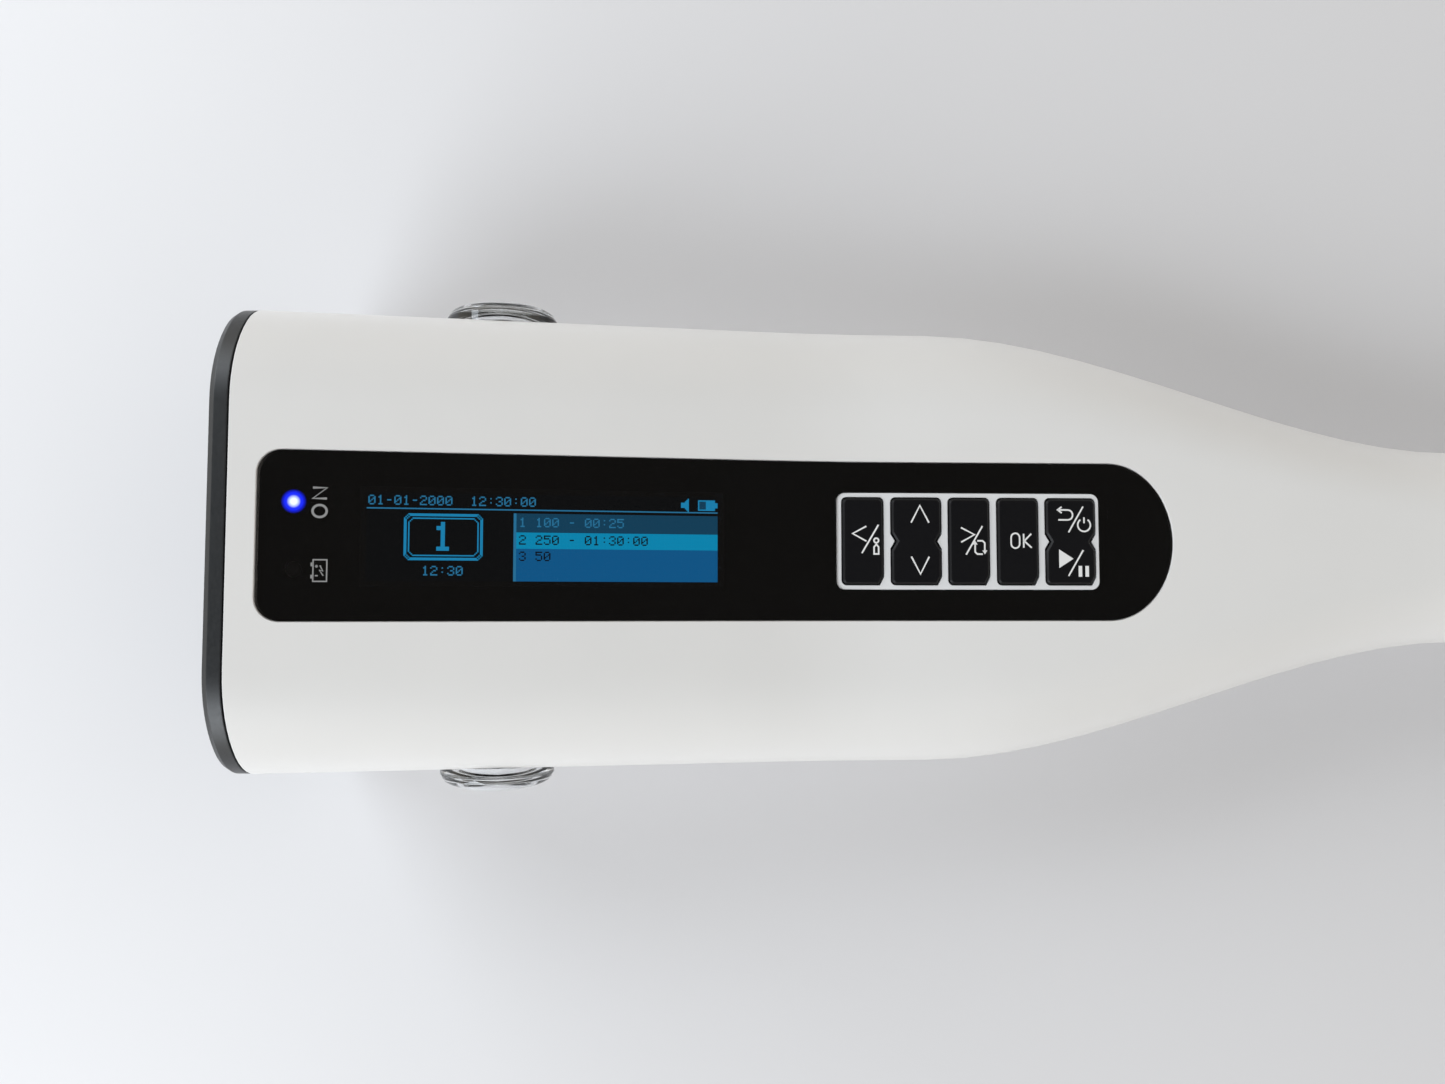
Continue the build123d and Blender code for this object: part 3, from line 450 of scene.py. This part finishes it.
def rounded_frame(grid, left, top, right, bottom, level, corner=3):
    """One-dot outline whose corner dots step inwards."""
    for column in range(left + corner, right - corner + 1):
        grid[top][column] = grid[bottom][column] = level
    for row in range(top + corner, bottom - corner + 1):
        grid[row][left] = grid[row][right] = level
    for step in range(1, corner):
        for column in (left + step, right - step):
            grid[top + corner - step][column] = grid[bottom - corner + step][column] = level


def draw_picture():
    """Levels of all the display's dots: clock, marks, a boxed number and a numbered menu."""
    grid = [[GROUND] * COLUMNS for _ in range(ROWS)]
    write_number(grid, "01-01-2000  12:30:00", 1, 2, TEXT)
    fill_box(grid, 0, 11, COLUMNS - 1, 11, TEXT)
    fill_box(grid, 228, 4, 229, 7, ICON)
    for step in range(4):
        fill_box(grid, 230 + step, 4 - min(step, 3), 230 + step, 7 + min(step, 3), ICON)
    fill_box(grid, 241, 2, 253, 9, ICON)
    fill_box(grid, 242, 3, 246, 8, DARK)
    fill_box(grid, 254, 4, 255, 7, ICON)
    for inward in (0, 1, 3):
        rounded_frame(grid, 26 + inward, 15 + inward, 81 - inward, 48 - inward, ICON)
    write_number(grid, "1", 46, 21, ICON, size=3)
    write_number(grid, "12:30", 39, 53, TEXT)
    fill_box(grid, 104, 14, 105, 63, TEXT)
    fill_box(grid, 106, 14, 255, 27, DARK)
    write_number(grid, "1 100 - 00:25", 108, 17, TEXT)
    fill_box(grid, 106, 28, 255, 39, BRIGHT)
    write_number(grid, "2 250 - 01:30:00", 108, 30, GROUND)
    fill_box(grid, 106, 40, 255, 63, MIDDLE)
    write_number(grid, "3 50", 108, 42, GROUND)
    return grid


def picture_mesh():
    """The dots as one mesh: each run of like dots in a row is one face."""
    points, faces, indices = [], [], []
    for row, levels in enumerate(draw_picture()):
        start = 0
        for column in range(1, COLUMNS + 1):
            if column < COLUMNS and levels[column] == levels[start]:
                continue
            left, right = (start - COLUMNS / 2) * DOT, (column - COLUMNS / 2) * DOT
            top, low = (ROWS / 2 - row) * DOT, (ROWS / 2 - row - 1) * DOT
            base = len(points)
            points += [on_plane(DISPLAY_PLANE, x, y, PICTURE_DEPTH)
                       for x, y in ((left, low), (right, low), (right, top), (left, top))]
            faces.append((base, base + 1, base + 2, base + 3))
            indices.append(levels[start])
            start = column
    return points, faces, indices


# ---------------------------------------------------------------- lenses

def turned(profile, centre, outward, segments=72):
    """Turned body about the line through centre along Y; the profile is (radius, distance outwards) in metres."""
    points, faces = [], []
    for radius, reach in profile:
        for step in range(segments):
            turn = 2 * pi * step / segments
            points.append(Vector((centre.x + radius * cos(turn), centre.y + outward * reach,
                                  centre.z + radius * sin(turn))))
    for band in range(len(profile)):
        following = (band + 1) % len(profile)
        for step in range(segments):
            after = (step + 1) % segments
            face = (band * segments + step, band * segments + after, following * segments + after,
                    following * segments + step)
            faces.append(face if outward > 0 else face[::-1])
    return points, faces, [0] * len(faces)


def lens_profile(radius, height, depth):
    """Domed lens with a rounded rim and a hollow, as (radius, distance) pairs from the housing's side."""
    tiny = radius * 0.01
    dome = [(tiny + (radius - 0.0006) * sin(radians(turn)), 0.0029 + (height - 0.0029) * cos(radians(turn)))
            for turn in range(0, 91, 9)]
    rim = [(radius, 0.0022), (radius, -0.0002), (radius - 0.0016, -0.0003), (radius - 0.0016, -depth)]
    bore = radius - 0.0031
    hollow = [(bore, -depth), (bore, -0.0012)]
    hollow += [(tiny + bore * cos(radians(turn)), -0.0012 + 0.0044 * sin(radians(turn))) for turn in range(15, 91, 15)]
    return dome + rim + hollow


def make_lens(name, material):
    low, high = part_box(name)
    outward = 1 if high.y > 0 else -1
    radius = (high.x - low.x) / 2
    side = abs(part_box("front_shell")[1].y)
    edge = max(abs(low.y), abs(high.y))
    depth = side - min(abs(low.y), abs(high.y))
    centre = Vector(((low.x + high.x) / 2, outward * side, (low.z + high.z) / 2))
    data = turned(lens_profile(radius, edge - side, depth), centre, outward)
    piece = make_piece(f"{name}_dome", data, [material], "housing", smooth=True)
    mesh = bmesh.new()
    mesh.from_mesh(piece.data)
    bmesh.ops.remove_doubles(mesh, verts=mesh.verts, dist=0.00002)
    bmesh.ops.recalc_face_normals(mesh, faces=mesh.faces)
    mesh.to_mesh(piece.data)
    mesh.free()
    piece.modifiers.new("smooth moulding", "NODES").node_group = smoothing()
    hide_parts(name)


# ---------------------------------------------------------------- operators

class PUMP_OT_housing(bpy.types.Operator):
    """Satin white ABS for both shells, black for the grip's cap, rubber feet and steel screws"""
    bl_idname = "pump.housing"
    bl_label = "Housing"

    def execute(self, context):
        values = context.scene.pump_housing
        # ABS, injection moulded in a spark-eroded tool: soft highlight, even fine grain
        shell = surface("moulded_white_abs", values.shell, 0.36, values.grain, 0.00002, mottle=0.02,
                        edge=values.edge)
        finish_nodes(in_slot("white_shell"), shell)
        # ABS, moulded black: the same grain, a little glossier
        cap = surface("moulded_black_abs", values.cap, 0.38, values.grain, 0.00002, edge=values.edge)
        finish_nodes(in_slot("black_satin"), cap)
        # Silicone rubber feet: matt with a dusty bloom
        feet = surface("moulded_foot_rubber", linear("#191919"), 0.8, 0.0008, 0.00003, mottle=0.2)
        finish_nodes(in_slot("foot_rubber"), feet)
        # Zinc-plated steel: fine turning marks
        steel = surface("plated_steel", linear("#B9BABC"), 0.3, 0.0005, 0.00001, metallic=1.0, stretch=(1, 1, 6))
        finish_nodes(in_slot("steel"), steel)
        return {"FINISHED"}


class PUMP_OT_panel(bpy.types.Operator):
    """Clear acrylic panel over its black printed film"""
    bl_idname = "pump.panel"
    bl_label = "Front panel"

    def execute(self, context):
        values = context.scene.pump_panel
        # Acrylic, cast and polished: clear and glossy, with faint handling marks
        clear = surface("polished_clear_acrylic", values.tint, 0.01, 0.03, 0.0, mottle=0.01, wear=0.01,
                        transmission=1.0, ior=1.49)
        finish_nodes(["front_panel"], clear, smooth=False)
        # Polyester film, screen printed black: even and dull under the panel
        film = surface("printed_black_film", values.film, 0.5, 0.0004, 0.000005, mottle=0.15, shine=0.05)
        finish_nodes(["panel_mask"], film, smooth=False)
        NODES["panel_mask"].modifiers.new("air gap", "NODES").node_group = lowered(0.00004)
        return {"FINISHED"}


class PUMP_OT_display(bpy.types.Operator):
    """Dot picture of the display, just over its glass"""
    bl_idname = "pump.display"
    bl_label = "Display"

    def execute(self, context):
        values = context.scene.pump_display
        tints = (values.ground, values.text, values.dark, values.middle, values.bright, values.icon)
        names = ("ground", "text", "dark", "middle", "bright", "icon")
        materials = [lit_dots(f"display_dots_{name}", tint) for name, tint in zip(names, tints)]
        make_piece("display_picture", picture_mesh(), materials, "housing")
        # Float glass over the dots: very dark blue, glossy
        glass = surface("display_float_glass", linear("#05080C"), 0.08, 0.003, 0.000001, mottle=0.1)
        finish_nodes(in_slot("display_blue"), glass)
        return {"FINISHED"}


class PUMP_OT_markings(bpy.types.Operator):
    """Power light, its generic word and the battery mark beside the display"""
    bl_idname = "pump.markings"
    bl_label = "Lights and markings"

    def execute(self, context):
        values = context.scene.pump_panel
        # Screen-printing ink: matt and slightly uneven
        ink = surface("printed_grey_ink", values.mark, 0.6, 0.0004, 0.000003, mottle=0.12)
        rounds = [radians(turn) for turn in range(0, 360, 15)]
        letters = [([(5.3 - 1.45 * sin(turn), 5.2 + 1.3 * cos(turn)) for turn in rounds], True),
                   ([(6.75, 7.9), (3.85, 7.9), (6.75, 10.2), (3.85, 10.2)], False)]
        word = ink_mesh(letters, [], 0.5, LIGHT_PLANE, PANEL_TOP + INK)
        make_piece("light_word", word, [ink], "housing")
        outline = [(4.2, -9.8), (7.0, -9.8), (7.0, -5.2), (4.2, -5.2)]
        plus = [[(4.6, -6.6), (5.2, -6.6)], [(4.9, -6.9), (4.9, -6.3)], [(4.6, -8.6), (5.2, -8.6)]]
        bolt = [(6.3, -8.6), (5.5, -7.4), (6.2, -7.6), (5.6, -6.4)]
        lines = [(outline, True)] + [(stroke, False) for stroke in plus] + [(bolt, False)]
        ends = [[(3.7, -9.2), (4.2, -9.2), (4.2, -8.4), (3.7, -8.4)], [(3.7, -6.6), (4.2, -6.6), (4.2, -5.8), (3.7, -5.8)]]
        make_piece("battery_mark", ink_mesh(lines, ends, 0.28, LIGHT_PLANE, PANEL_TOP + INK), [ink], "housing")
        halo = power_glow("power_light", values.light)
        rings = [(radius, [(radius * cos(2 * pi * s / 40), radius * sin(2 * pi * s / 40)) for s in range(40)])
                 for radius in (0.8, 1.7, 2.6)]
        points = [point for _, band in rings for point in band]
        faces = [tuple(range(40))]
        for band in range(2):
            for step in range(40):
                after = (step + 1) % 40
                faces.append((band * 40 + step, (band + 1) * 40 + step, (band + 1) * 40 + after, band * 40 + after))
        placed = [on_plane(LIGHT_PLANE, x, y + 7.2, PANEL_TOP + INK) for x, y in points]
        make_piece("power_glow", (placed, faces, [0] * len(faces)), [halo], "housing")
        # Epoxy, cast round the diodes: clear, slightly tinted
        blue = surface("cast_blue_epoxy", linear("#2038FF"), 0.1, 0.002, 0.000002, transmission=0.6, ior=1.5)
        finish_nodes(in_slot("led_blue"), blue)
        pale = surface("cast_smoked_epoxy", linear("#101012"), 0.12, 0.002, 0.000002, ior=1.5)
        finish_nodes(in_slot("led_clear"), pale)
        return {"FINISHED"}


class PUMP_OT_keypad(bpy.types.Operator):
    """Black keys with printed legends in their white bezel"""
    bl_idname = "pump.keypad"
    bl_label = "Keypad"

    def execute(self, context):
        values = context.scene.pump_keypad
        # Silicone rubber, moulded and coated: satin black with a very fine grain
        rubber = surface("moulded_silicone", values.rubber, 0.42, 0.0005, 0.000012, mottle=0.15, edge=0.00025,
                         shine=0.2)
        finish_nodes(in_slot("key_rubber"), rubber)
        bezel = surface("moulded_bezel_abs", values.bezel, 0.34, 0.0006, 0.00001, mottle=0.02, edge=0.0002)
        finish_nodes(in_slot("bezel_white"), bezel)
        ink = surface("printed_white_ink", values.legend, 0.55, 0.0004, 0.000003, mottle=0.06)
        for key, (lines, fills) in legends().items():
            data = ink_mesh(lines, fills, values.stroke / MM, KEYPAD_PLANE, KEY_TOP + INK)
            make_piece(f"{key}_legend", data, [ink], f"{key}_body")
        return {"FINISHED"}


class PUMP_OT_lenses(bpy.types.Operator):
    """Clear domed lenses on both sides with the white lamp boards behind them"""
    bl_idname = "pump.lenses"
    bl_label = "Side lenses"

    def execute(self, context):
        values = context.scene.pump_lenses
        # Polycarbonate, moulded: clear and glossy with faint flow marks
        clear = surface("clear_polycarbonate", values.glass, 0.05, 0.003, 0.000003, mottle=0.01, wear=0.02,
                        transmission=1.0, ior=1.585)
        for name in in_slot("clear_lens"):
            make_lens(name, clear)
        white = surface("white_lamp_board", values.board, 0.45, 0.001, 0.00001, mottle=0.04)
        finish_nodes(in_slot("lamp_white"), white)
        return {"FINISHED"}


class PUMP_OT_mechanism(bpy.types.Operator):
    """Roller pump, its deck, gears and motor behind the door"""
    bl_idname = "pump.mechanism"
    bl_label = "Pump mechanism"

    def execute(self, context):
        values = context.scene.pump_mechanism
        # Aluminium, bead blasted and clear anodised: dull silver with a fine grain
        deck = surface("blasted_aluminium", values.deck, 0.42, 0.0005, 0.00002, metallic=1.0, mottle=0.04,
                       edge=0.0003)
        finish_nodes(in_slot("deck_aluminium"), deck)
        # Acetal, turned: waxy white with faint rings
        rollers = surface("turned_acetal", values.roller, 0.35, 0.0006, 0.00001, mottle=0.03, stretch=(6, 1, 1))
        finish_nodes(in_slot("roller_white"), rollers)
        can = surface("painted_motor_can", values.motor, 0.4, 0.0008, 0.00002, mottle=0.08, edge=0.0003)
        finish_nodes(in_slot("motor_metal"), can)
        brass = surface("turned_brass", linear("#C9A75A"), 0.28, 0.0005, 0.00001, metallic=1.0, stretch=(8, 1, 1))
        finish_nodes(in_slot("brass"), brass)
        grey = surface("moulded_grey_nylon", linear("#9A9C9F"), 0.5, 0.0007, 0.00002, edge=0.0002)
        finish_nodes(in_slot("inner_grey"), grey)
        dark = surface("moulded_dark_nylon", linear("#2B2C30"), 0.5, 0.0007, 0.00002, edge=0.0002)
        finish_nodes(in_slot("inner_dark"), dark)
        return {"FINISHED"}


class PUMP_OT_electronics(bpy.types.Operator):
    """Circuit boards and the sleeved battery cells"""
    bl_idname = "pump.electronics"
    bl_label = "Electronics and battery"

    def execute(self, context):
        values = context.scene.pump_mechanism
        finish_nodes(in_slot("circuit_green"), circuit_board("green_circuit_board", values.board), smooth=False)
        # PVC shrink sleeve: glossy, with shallow wrinkles along the cell
        sleeve = surface("shrunk_pvc_sleeve", values.sleeve, 0.25, 0.002, 0.00004, mottle=0.08, stretch=(0.2, 1, 1))
        finish_nodes(in_slot("cell_wrap"), sleeve)
        rest = [name for name in NODES if name in SLOTS and not NODES[name].data.materials]
        if rest:
            raise RuntimeError(f"nodes without a finish: {rest}")
        return {"FINISHED"}


class PUMP_OT_stage(bpy.types.Operator):
    """Pale table, soft light and the camera above the pump"""
    bl_idname = "pump.stage"
    bl_label = "Stage"

    def execute(self, context):
        values = context.scene.pump_stage
        scene = context.scene
        scene.view_settings.view_transform = "Standard"
        size, steps = 1.2, 24
        grid = [(size * (2 * i / steps - 1), size * (2 * j / steps - 1), 0.0)
                for j in range(steps + 1) for i in range(steps + 1)]
        faces = [(j * (steps + 1) + i, j * (steps + 1) + i + 1, (j + 1) * (steps + 1) + i + 1,
                  (j + 1) * (steps + 1) + i) for j in range(steps) for i in range(steps)]
        mesh = bpy.data.meshes.new("table_top")
        mesh.from_pydata(grid, [], faces)
        # Laminate table top: smooth, pale, with a barely visible mottle
        mesh.materials.append(surface("pale_laminate", values.floor, 0.55, 0.0015, 0.00001, mottle=0.015,
                                      mottle_size=0.12))
        table = bpy.data.objects.new("table_top", mesh)
        scene.collection.objects.link(table)

        world = bpy.data.worlds.new("studio_room")
        world.use_nodes = True
        world.node_tree.nodes.clear()
        tree = world.node_tree
        # Pale warm walls under a dark ceiling, so that the glossy panel overhead stays black
        direction = add(tree, "ShaderNodeTexCoord").outputs["Generated"]
        height = add(tree, "ShaderNodeSeparateXYZ", Vector=direction).outputs[2]
        level = add(tree, "ShaderNodeMapRange", _0=height, _1=0.55, _2=0.85, _3=values.fill,
                    _4=values.fill * values.ceiling)
        room = add(tree, "ShaderNodeBackground", Color=(1.0, 0.955, 0.88, 1), Strength=level.outputs[0])
        add(tree, "ShaderNodeOutputWorld", _0=room.outputs[0])
        scene.world = world

        lamps = (("key_light", (-0.85, -0.75, 0.7), 0.8, values.key, (0.86, 0.93, 1)),
                 ("side_light", (-0.9, 0.65, 0.65), 0.7, values.side, (0.86, 0.93, 1)))
        for name, place, width, power, tint in lamps:
            lamp = bpy.data.lights.new(name, "AREA")
            lamp.size = width
            lamp.energy = power
            lamp.color = tint
            light = bpy.data.objects.new(name, lamp)
            light.location = place
            aim = Vector((-0.03, 0.0, 0.03)) - Vector(place)
            light.rotation_euler = aim.to_track_quat("-Z", "Y").to_euler()
            scene.collection.objects.link(light)

        eye = bpy.data.cameras.new("overhead_camera")
        eye.sensor_width = 36
        eye.lens = values.lens
        camera = bpy.data.objects.new("overhead_camera", eye)
        camera.location = (values.camera_x, values.camera_y, values.camera_z)
        camera.rotation_euler = (Matrix.Rotation(values.tilt, 3, "X") @ Matrix.Rotation(values.turn, 3, "Z")).to_euler()
        scene.collection.objects.link(camera)
        scene.camera = camera
        return {"FINISHED"}


OPERATORS = (PUMP_OT_housing, PUMP_OT_panel, PUMP_OT_display, PUMP_OT_markings, PUMP_OT_keypad, PUMP_OT_lenses,
             PUMP_OT_mechanism, PUMP_OT_electronics, PUMP_OT_stage)
SETTINGS = {
    "pump_housing": HousingSettings, "pump_panel": PanelSettings, "pump_display": DisplaySettings,
    "pump_keypad": KeypadSettings, "pump_lenses": LensSettings, "pump_mechanism": MechanismSettings,
    "pump_stage": StageSettings,
}


class PUMP_PT_sidebar(bpy.types.Panel):
    """Lists the pump's operators and settings"""
    bl_idname = "PUMP_PT_sidebar"
    bl_label = "Infusion pump"
    bl_space_type = "VIEW_3D"
    bl_region_type = "UI"
    bl_category = "Pump"

    def draw(self, context):
        for operator in OPERATORS:
            self.layout.operator(operator.bl_idname)
        for name, kind in SETTINGS.items():
            box = self.layout.box()
            for setting in kind.__annotations__:
                box.prop(getattr(context.scene, name), setting)


def register():
    for kind in (*SETTINGS.values(), *OPERATORS, PUMP_PT_sidebar):
        bpy.utils.register_class(kind)
    for name, kind in SETTINGS.items():
        setattr(bpy.types.Scene, name, PointerProperty(type=kind))


def unregister():
    for name in SETTINGS:
        delattr(bpy.types.Scene, name)
    for kind in (PUMP_PT_sidebar, *reversed(OPERATORS), *SETTINGS.values()):
        bpy.utils.unregister_class(kind)


def main():
    register()
    for step in ("housing", "panel", "display", "markings", "keypad", "lenses", "mechanism", "electronics", "stage"):
        getattr(bpy.ops.pump, step)()


if __name__ == "__main__":
    main()
